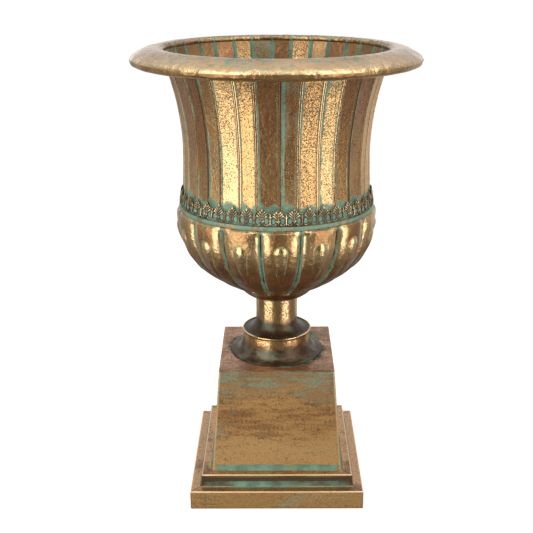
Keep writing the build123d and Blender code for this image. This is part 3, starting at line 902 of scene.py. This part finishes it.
def gold_with_highlight_strips(paint, fine, patch):
    """The body, green specks, strips of painted highlight, and dark specks with painted shade
    between the strips, that the stem and the collar share.
    """
    body = paint.mix(patch.step(0.42, 0.62), "gold", "bronze")
    specks = (patch * 0.6 + fine * 0.4).step(0.58, 0.63) * 0.3
    # Painted highlight on the strips, painted shade away from them.
    strip = (paint.mark("strip") + (fine - 0.5) * 1.2).step(0.35, 0.6)
    soot_and_shade = fine.step(0.5, 0.6) * 0.6 | 0.5 - strip * 0.5
    return body, specks, strip, soot_and_shade


class URN_OT_spun_stem(bpy.types.Operator):
    """Spin the dish, the stem with its trumpet foot, and the collar"""

    bl_idname = "urn_vase.spun_stem"
    bl_label = "Dish, Stem and Collar"

    def execute(self, context):
        sheet = context.scene.urn_sizes.sheet / MM
        self.dish(sheet)
        self.stem(sheet)
        self.collar(sheet)
        return {"FINISHED"}

    def spin(self, name, run, marks, *rest):
        grid = dented(turned(run, SPUN_COLUMNS), run[:, 1].mean(), 0.05, 9, 7)
        marks = {mark: values[:, None] for mark, values in marks.items()}
        turn = np.degrees(circle(SPUN_COLUMNS))[None, :]
        away = [np.abs((turn - strip + 180) % 360 - 180) for strip in HIGHLIGHT_STRIPS]
        marks["strip"] = 1 - step(np.min(away, axis=0), 8, 17)
        piece(name, *woven(grid, marks), *rest)

    def dish(self, sheet):
        skin = np.vstack([flowing(DISH_RUN, 4), [(33.0, 11.2), (32.9, 11.5), (32.6, 11.6)]])
        back = skin[::-2] - leftward(skin[::-2]) * sheet
        run = np.vstack([[(ROD_HOLE, 0), (16.5, 0)], skin, back[1:], [(ROD_HOLE, sheet)]])
        edge = step(run[:, 1], 10.4, 11.2) * step(run[:, 0], 32.0, 32.6)
        paint = Finish("dish_gilt")
        fine = paint.grain(0.9, 3)
        worn = (paint.mark("edge") + fine * 0.4).step(0.75, 1)
        body = paint.mix(paint.grain(6, 3).step(0.45, 0.6) * 0.4, "bronze", "umber")
        green = paint.grain(5, 4, (1, 1, 2)).step(0.6, 0.66) * 0.5
        soot_and_shade = fine.step(0.5, 0.62) * 0.45 * (1 - worn)
        finish = paint.gilt(body, green, soot_and_shade, worn, fine, paint.grain(1.6, 2), 0.33)
        self.spin("spun_dish", run + (0, STEM_TOP), {"edge": edge}, "dish", finish, "bowl_dish")

    def stem(self, sheet):
        side, foot, high = STEM_SIDE, STEM_COVE, STEM_TOP - STEM_FOOT
        skin = np.vstack([
            [(side + STEM_FLARE, 0), (side + STEM_FLARE + 0.1, 0.5)],
            trumpet(side, STEM_FLARE, sheet, foot - sheet),
            upright(side, foot, high - 0.4, 12),
            [(side - 0.1, high - 0.1), (side - 0.4, high)],
        ])
        reach, level = np.maximum(skin[::-1] - (sheet, 0), (side - sheet, 0)).T
        level = np.minimum(level, high - sheet)
        level = np.where(level < foot, np.maximum(level - sheet * 0.6, 0), level)
        back = np.stack([reach, level], -1)
        run = np.vstack([skin, [(ROD_HOLE, high), (ROD_HOLE, high - sheet)], back[2:]])
        paint = Finish("stem_gilt")
        height, fine = paint.mark("height"), paint.grain(0.9, 3)
        patch = paint.grain(7, 4, (1, 1, 0.6))
        body, specks, strip, soot_and_shade = gold_with_highlight_strips(paint, fine, patch)
        low = (height - patch * 9 - fine * 3).step(11.5, 2.5)
        smear = paint.grain(2.6, 4, (0.5, 0.5, 1)).step(0.46, 0.6)
        green = low * smear * 0.22 | (height + patch * 5).step(29.5, 33.5) * 0.2 | specks
        worn, hammer = strip * (1 - low) * 0.4, paint.grain(1.2, 2) * 0.9
        finish = paint.gilt(body, green, soot_and_shade | low * 0.95, worn, fine, hammer, 0.18)
        marks = {"height": run[:, 1]}
        self.spin("spun_stem", run + (0, STEM_FOOT), marks, "stem", finish, "stem")

    def collar(self, sheet):
        side, flange = COLLAR_SIDE, FLANGE_REACH
        top, seat = COLLAR_TOP - PLATE_TOP, STEM_FOOT - PLATE_TOP
        lip = top - COLLAR_LIP[-1][1]
        cove = trumpet(side, COLLAR_FLARE, sheet, COLLAR_COVE)
        bore = side - sheet + 0.6
        run = np.vstack([
            [(side + COLLAR_FLARE, 0), (flange - 0.1, 0), (flange, 0.4)],
            [(flange - 0.1, 0.85), (flange - 0.5, sheet)],
            cove,
            upright(side, sheet + COLLAR_COVE, lip, 6),
            np.add(COLLAR_LIP, (side, lip)),
            [(bore, top - 0.1), (bore, seat), (20, seat), (20, seat - sheet)],
            [(side - sheet, seat - sheet)],
            cove[:0:-1] + (-sheet, sheet * 0.2),
        ])
        paint = Finish("collar_gilt")
        height, fine = paint.mark("height"), paint.grain(0.9, 3)
        patch = paint.grain(8, 4)
        body, specks, strip, soot_and_shade = gold_with_highlight_strips(paint, fine, patch)
        low = (height - patch * 9 - fine * 4).step(10.5, 0.5)
        edge = (height + fine * 0.5).step(18.9, 19.4)
        smear = paint.grain(3.5, 4, (0.5, 0.5, 1)).step(0.46, 0.6)
        green = (low * smear * 0.3 | specks) * (1 - edge)
        soot_and_shade = (soot_and_shade | low * (0.95 - smear * 0.1)) * (1 - edge)
        worn, hammer = edge * 0.8 | strip * (1 - low) * 0.4, paint.grain(1.2, 2) * 0.9
        finish = paint.gilt(body, green, soot_and_shade, worn, fine, hammer, 0.16)
        marks = {"height": run[:, 1]}
        self.spin("spun_collar", run + (0, PLATE_TOP), marks, "collar", finish, "collar")


# Plinth


SLAB_TOP, STEP_TOP = 17.0, 27.7
# Corners of a side from the hem inside its foot up to the plate, and the radii of its folds
PLINTH_CORNERS = (
    (SLAB_REACH - 7.0, 0), (SLAB_REACH, 0), (SLAB_REACH, SLAB_TOP), (SLAB_REACH - 9.1, SLAB_TOP),
    (SLAB_REACH - 9.1, STEP_TOP), (PLATE_REACH + 6.7, STEP_TOP), (PLATE_REACH, PLATE_FOOT),
)
PLINTH_FOLDS = (1.6, 1.2, 3.0, 1.2, 3.0)
INNER_FOLDS, OUTER_FOLDS = (3, 5), (1, 2, 4)
SIDE_COLUMNS = 64
PLATE_COLUMNS = 256


def plinth_gilt():
    """Brushed gold and copper with painted green folds and a green wash up the panel."""
    paint = Finish("plinth_gilt")
    cove, fold, height, edge = map(paint.mark, ("cove", "fold", "height", "edge"))
    tread = paint.mark("tread").step(0.2, 0.8)
    fine = paint.grain(0.95, 3, rough=0.6)
    brushed = paint.grain(1.9, 4, (0.16, 0.16, 1))
    patch = paint.grain(17, 5, (0.45, 0.45, 1), 0.6)
    shade = brushed * 0.4 + patch * 0.35 + fine * 0.25
    panel = height.step(29, 31)
    riser = height.step(28.4, 27.9) * height.step(17.4, 17.9) * (1 - tread)
    top = (height + (patch - 0.5) * 70).step(76, 106)
    body = paint.mix((shade + height.step(36, 75) * 0.08).step(0.5, 0.66), "gold", "bronze")
    body = paint.mix(tread * 0.6 + patch.step(0.55, 0.65) * 0.2, body, "copper")
    body = paint.mix(top * 0.7, body, "bronze")
    rough_cove = cove + (fine - 0.5) * 1.2 + (brushed - 0.5) * 2
    painted = rough_cove.step(5, 4) * cove.step(-2.4, -1.8) * edge.step(1, 4)
    painted = painted * (0.95 - patch.step(0.46, 0.6) * 0.55)
    smear = (shade * 0.5 + patch * 0.5).step(0.51, 0.6)
    streaks = (brushed * 0.7 + fine * 0.3).step(0.43, 0.57) * 0.75 + 0.25
    wash = (smear * 0.45 | top * 0.6) * streaks
    green = (painted | wash * (1 - tread * 0.8) * (1 - riser)) * (1 - fold)
    worn = (fold + (fine - 0.5) * 0.5).step(0.5, 0.8) | panel * edge.step(1.7, 1)
    # Painted highlight: the lower part of the sloping panel takes a brass sheen.
    glow = panel * (height + (patch - 0.5) * 40).step(68, 40) * (1 - painted)
    seam = edge.step(0.8, 0.3) * (1 - panel)
    dots = paint.grain(0.5, 2).step(0.52, 0.6) * 0.35
    speckle = fine.step(0.52, 0.62) * (brushed.step(0.4, 0.6) * 0.35 + tread * 0.35 + 0.15)
    streak = tread * (brushed * 0.6 + patch * 0.4).step(0.5, 0.6) * 0.6
    soot_and_shade = (speckle | dots | streak | riser * 0.9 | painted * 0.6 | seam * 0.9) * (1 - worn)
    worn, hammer = worn * 0.9 | glow * 0.22, brushed * 0.5 + paint.grain(1.4, 2) * 0.6
    return paint.gilt(body, green, soot_and_shade, worn, fine, hammer, 0.56 - tread * 0.28)


def plate_copper():
    """Copper with scratches, and dark green smears round the collar's flange."""
    paint = Finish("plate_copper")
    flange = paint.mark("flange")
    fine = paint.grain(0.9, 3)
    patch = paint.grain(9, 4)
    body = paint.mix(patch.step(0.4, 0.6) * 0.8, "copper", "bronze")
    ring = (flange - (patch - 0.5) * 18).step(4, 0)
    smear = paint.grain(3, 4, (0.5, 1, 1)).step(0.42, 0.58)
    green = ring * smear * 0.6 | patch.step(0.6, 0.66) * 0.35
    scratches = paint.grain(1.6, 4, (0.3, 1, 1)).step(0.48, 0.58) * 0.35
    soot_and_shade = fine.step(0.5, 0.62) * 0.65 | scratches + 0.12
    # Painted shadow: a thin dark line round the edge of the collar's flange.
    soot_and_shade = soot_and_shade | ring * (0.95 - smear * 0.3) | flange.step(0.9, 0.3)
    return paint.gilt(body, green, soot_and_shade, 0.0, fine, paint.grain(1.4, 2), 0.33)


class URN_OT_plinth(bpy.types.Operator):
    """Fold the four stepped sides of the plinth and cut its top plate"""

    bl_idname = "urn_vase.plinth"
    bl_label = "Stepped Plinth"

    def execute(self, context):
        sizes, finish = context.scene.urn_sizes, plinth_gilt()
        run = filled(folded(PLINTH_CORNERS, PLINTH_FOLDS, 6), 1.6)
        loop = np.vstack([run, (run + leftward(run) * sizes.sheet / MM)[::-1]])
        reach, high = loop[:, :1], loop[:, 1:]
        along = np.linspace(-1, 1, SIDE_COLUMNS + 1)
        side = along * (reach - sizes.seam / MM)
        front = np.stack(np.broadcast_arrays(side, -reach, high), -1)
        free = (1 - along**2) * step(high, 30, 60) * (1 - step(high, 95, 112))
        marks = {**self.marks(loop), "height": high, "edge": reach - np.abs(side)}
        for quarter, name in enumerate(("front", "right", "back", "left")):
            turn = quarter * math.pi / 2
            c, s = math.cos(turn), math.sin(turn)
            spin = np.array([[c, s, 0], [-s, c, 0], [0, 0, 1]])
            grid = front @ spin
            grid = grid - spin[1] * (sway(grid, 70, 9) * free * 0.35)[..., None]
            points, faces, flat = woven(grid, marks, ring=False)
            faces = np.vstack([faces, self.ends(len(loop))])
            rest = ("plinth", finish, "plinth_side_" + name)
            piece("folded_side_" + name, points, faces, flat, *rest)
        self.plate()
        return {"FINISHED"}

    def ends(self, count):
        """Faces that close the two mitred ends of a side."""
        faces = []
        for column in (0, SIDE_COLUMNS):
            index = np.arange(count) * (SIDE_COLUMNS + 1) + column
            inside = index[::-1]
            pairs = zip(index, index[1:], inside[1:], inside[: count // 2 - 1])
            faces += [pair if column else pair[::-1] for pair in pairs]
        return faces

    def marks(self, loop):
        """Marks of the folds and treads along a side's loop of points."""
        corners = np.array(PLINTH_CORNERS)
        gaps = [loop - corners[i] for i in INNER_FOLDS]
        signed = [np.linalg.norm(g, axis=1) * np.where(g[:, 1] > g[:, 0], 1, -1) for g in gaps]
        levels = [np.abs(loop[:, 1] - corners[i, 1]) < 0.2 for i in INNER_FOLDS]
        near = np.min([np.linalg.norm(loop - corners[i], axis=1) for i in OUTER_FOLDS], axis=0)
        marks = {
            "cove": np.where(np.abs(signed[0]) < np.abs(signed[1]), *signed),
            "tread": levels[0] | levels[1],
            "fold": 1 - step(near, 0.6, 1.5),
        }
        return {name: values[:, None] for name, values in marks.items()}

    def plate(self):
        """The square top plate, with rings of points under the collar's flange."""
        turn = circle(PLATE_COLUMNS)
        square = 1 / np.maximum(np.abs(np.sin(turn)), np.abs(np.cos(turn)))
        reach, top, foot = PLATE_REACH, PLATE_TOP, PLATE_FOOT
        rows = np.array([
            (ROD_HOLE, foot, 0), (ROD_HOLE, top, 0), (20, top, 0), (34, top, 0),
            (39, top, 0), (40, top, 0), (41.5, top, 0.15), (43, top, 0.4), (44.5, top, 0.7),
            (reach - 2, top, 1), (reach - 0.6, top, 1), (reach - 0.2, top - 0.15, 1),
            (reach, top - 0.5, 1), (reach - 0.1, foot, 1), (reach - 6, foot, 0.8),
        ])
        shape = 1 + (square - 1) * rows[:, 2:]
        grid = place(rows[:, :1] * shape, turn, rows[:, 1:2])
        marks = {"flange": np.linalg.norm(grid[..., :2], axis=-1) - FLANGE_REACH}
        piece("plinth_top", *woven(grid, marks), "plate", plate_copper(), "plinth_plate")


# Rod, nuts and bearing plates


ROD_SIDES = 24
ROD_RADIUS, THREAD_DEPTH, THREAD_LENGTH = 2.7, 0.28, 14


def plated_steel():
    """Dull patches on plated steel."""
    paint = Finish("plated_steel")
    steel = bpy.context.scene.urn_colours.steel
    dull = paint.grain(4, 4).step(0.4, 0.6)
    colour = paint.mix(dull * 0.6, steel, [c * 0.55 for c in steel])
    sockets = {"Base Color": colour, "Metallic": 1.0, "Roughness": 0.32 + dull * 0.2}
    return paint.metal(sockets, paint.grain(0.8, 3), 0.3, 0.1)


class URN_OT_fixings(bpy.types.Operator):
    """Finish the tie rod, its nuts and the bearing plates in plated steel"""

    bl_idname = "urn_vase.fixings"
    bl_label = "Fixings"

    def execute(self, context):
        steel = plated_steel()
        low, high = (corner.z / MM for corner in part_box("tie_rod"))
        piece("threaded_rod", *self.rod(low, high), {}, "fixings", steel, "tie_rod")
        for name in ("bearing_plates", "rod_nuts"):
            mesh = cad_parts[name].data
            mesh.materials.clear()
            mesh.materials.append(steel)
        return {"FINISHED"}

    def rod(self, low, high):
        """Points and faces of the tie rod, threaded at both ends."""
        height = np.arange(low, high, 0.12)[:, None]
        turn = circle(ROD_SIDES)
        ends = np.minimum(height - low, high - height)
        thread = np.abs((height - turn / (2 * math.pi)) % 1.0 - 0.5) * 2 - 0.5
        deep = (ends < THREAD_LENGTH) * (ends > 0.5)
        radius = ROD_RADIUS + THREAD_DEPTH * thread * deep - 0.4 * (ends < 0.4)
        points, faces, _ = woven(place(radius, turn, height), loop=False)
        count = len(points)
        faces = faces.tolist()
        for start, tip, way in ((0, count, -1), (count - ROD_SIDES, count + 1, 1)):
            ring = [start + i for i in range(ROD_SIDES)]
            faces += [(tip, *pair[::way]) for pair in zip(ring, ring[1:] + ring[:1])]
        return np.vstack([points, [(0, 0, low), (0, 0, height[-1, 0])]]), faces


# Stage: lengths are in metres where an object is placed, and in millimetres in meshes


# The photograph's width and focal length, and how far its middle is shifted, in pixels
PHOTO_WIDTH, PHOTO_FOCUS, PHOTO_SHIFT = 533, 930.18, -12.9
CAMERA_PLACE = (0, -0.7486, 0.44857)
CAMERA_DIP, CAMERA_TURN = math.radians(18.94), math.radians(-0.18)
LAMP_REACH, LAMP_HEIGHT, LAMP_LENGTH = 1.3, 0.9, 3.2
FLOOR_HALF = 6000.0
CARD_REACH, CARD_HEIGHT = 4000, 200


class URN_OT_stage(bpy.types.Operator):
    """Lay the pale floor, hang the lamps and the dim card, and set the camera"""

    bl_idname = "urn_vase.stage"
    bl_label = "Studio and Camera"

    def execute(self, context):
        stage = context.scene.urn_stage
        self.world(context.scene, stage)
        self.floor(stage)
        self.card()
        self.lamp("soft_left", stage.lamp, -45, 1.08)
        self.lamp("soft_right", stage.lamp, 52, 0.86)
        self.camera(context.scene)
        return {"FINISHED"}

    def world(self, scene, stage):
        scene.world = bpy.data.worlds.new("white_room")
        scene.world.use_nodes = True
        recipe = Recipe(scene.world.node_tree)
        strength = stage.sky + recipe.seen() * (1 - stage.sky)
        sockets = {"Color": (1, 1, 1, 1), "Strength": strength}
        light = recipe.node("ShaderNodeBackground", {}, sockets)
        recipe.node("ShaderNodeOutputWorld", {}, {"Surface": light})
        scene.view_settings.view_transform = "Standard"

    def floor(self, stage):
        corners = ((-1, -1, 0), (1, -1, 0), (1, 1, 0), (-1, 1, 0))
        floor = mesh_object("pale_floor", np.array(corners) * FLOOR_HALF, [(0, 1, 2, 3)], {})
        recipe = Finish("pale_floor")
        matt = recipe.node("ShaderNodeBsdfDiffuse", {}, {"Color": (*stage.floor, 1)})
        lift = recipe.seen() * (1 - stage.floor[0] * stage.sky)
        glow = recipe.node("ShaderNodeEmission", {}, {"Strength": lift})
        both = recipe.node("ShaderNodeAddShader", {}, {0: matt, 1: glow})
        floor.data.materials.append(recipe.shown(both))
        floor.visible_glossy = False

    def card(self):
        """A card all round, dim in front, that only polished surfaces show."""
        turn = np.linspace(-180, 180, 180, endpoint=False)[None, :]
        above = np.linspace(-89, 89, 90)[:, None]
        up = np.radians(above)
        height = CARD_HEIGHT + CARD_REACH * np.sin(up)
        grid = place(CARD_REACH * np.cos(up), np.radians(turn), height)
        away = np.abs(turn - 4)
        behind = step(away, 104, 120)
        right = step(turn, 108, 122)
        level = 0.07 + 0.33 * step(away, 20, 32)
        for value, where in (
            (0.45, step(above, 25, 50)),
            (0.28, step(-above, 17, 26)),
            (0.10, step(-above, 48, 65)),
            (0.52, behind * step(above, -30, -8)),
            (0.80, right * step(above, -30, -8) * step(-above, -20, 0)),
            (1.30, step(away, 148, 162) * step(above, -8, 0) * step(-above, -17, -12)),
            (1.05, behind * step(above, 30, 44)),
            (2.40, step(away, 22, 32) * step(-away, -110, -95) * step(above, 42, 52)),
        ):
            level = level + (value - level) * where
        points, faces, marks = woven(grid, {"glow": level}, loop=False)
        card = mesh_object("dim_card", points, faces.tolist(), marks)
        recipe = Finish("dim_card")
        glow = recipe.node("ShaderNodeEmission", {}, {"Color": recipe.mark("glow")})
        card.data.materials.append(recipe.shown(glow))
        for ray in ("camera", "diffuse", "transmission", "volume_scatter", "shadow"):
            setattr(card, "visible_" + ray, False)

    def lamp(self, name, strength, azimuth, width):
        """A tall soft lamp at an azimuth from the camera's side, facing the urn."""
        light = bpy.data.lights.new(name, "AREA")
        light.shape = "RECTANGLE"
        light.size, light.size_y = width, LAMP_LENGTH
        light.energy = strength * math.pi * light.size * light.size_y
        lamp = linked(name, light)
        around = math.radians(azimuth)
        x, y = LAMP_REACH * math.sin(around), -LAMP_REACH * math.cos(around)
        lamp.location = (x, y, LAMP_HEIGHT)
        lamp.rotation_euler = (math.radians(90), 0, around)
        lamp.visible_camera = False

    def camera(self, scene):
        lens = bpy.data.cameras.new("photo_camera")
        lens.sensor_width = 36
        lens.lens = PHOTO_FOCUS / PHOTO_WIDTH * lens.sensor_width
        lens.shift_x = PHOTO_SHIFT / PHOTO_WIDTH
        lens.clip_end = 50
        camera = linked("photo_camera", lens)
        camera.location = CAMERA_PLACE
        camera.rotation_euler = (math.radians(90) - CAMERA_DIP, 0, CAMERA_TURN)
        scene.camera = camera


# Panel and registration


OPERATORS = (
    URN_OT_rim,
    URN_OT_wall,
    URN_OT_gallery,
    URN_OT_bowl,
    URN_OT_spun_stem,
    URN_OT_plinth,
    URN_OT_fixings,
    URN_OT_stage,
)
GROUPS = {"urn_sizes": UrnSizes, "urn_colours": UrnColours, "urn_stage": UrnStage}


class URN_PT_dressing(bpy.types.Panel):
    """Lists the urn's pieces and the values that shape them"""

    bl_idname = "URN_PT_dressing"
    bl_label = "Urn Vase"
    bl_space_type = "VIEW_3D"
    bl_region_type = "UI"
    bl_category = "Urn Vase"

    def draw(self, context):
        for operator in OPERATORS:
            self.layout.operator(operator.bl_idname)
        for name, group in GROUPS.items():
            box = self.layout.box()
            for value in group.__annotations__:
                box.prop(getattr(context.scene, name), value)


def register():
    for item in (*GROUPS.values(), *OPERATORS, URN_PT_dressing):
        bpy.utils.register_class(item)
    for name, group in GROUPS.items():
        setattr(bpy.types.Scene, name, bpy.props.PointerProperty(type=group))


def unregister():
    for name in GROUPS:
        delattr(bpy.types.Scene, name)
    for item in (URN_PT_dressing, *reversed(OPERATORS), *reversed(GROUPS.values())):
        bpy.utils.unregister_class(item)


def main():
    register()
    for operator in OPERATORS:
        getattr(bpy.ops.urn_vase, operator.bl_idname.split(".")[1])()


if __name__ == "__main__":
    main()
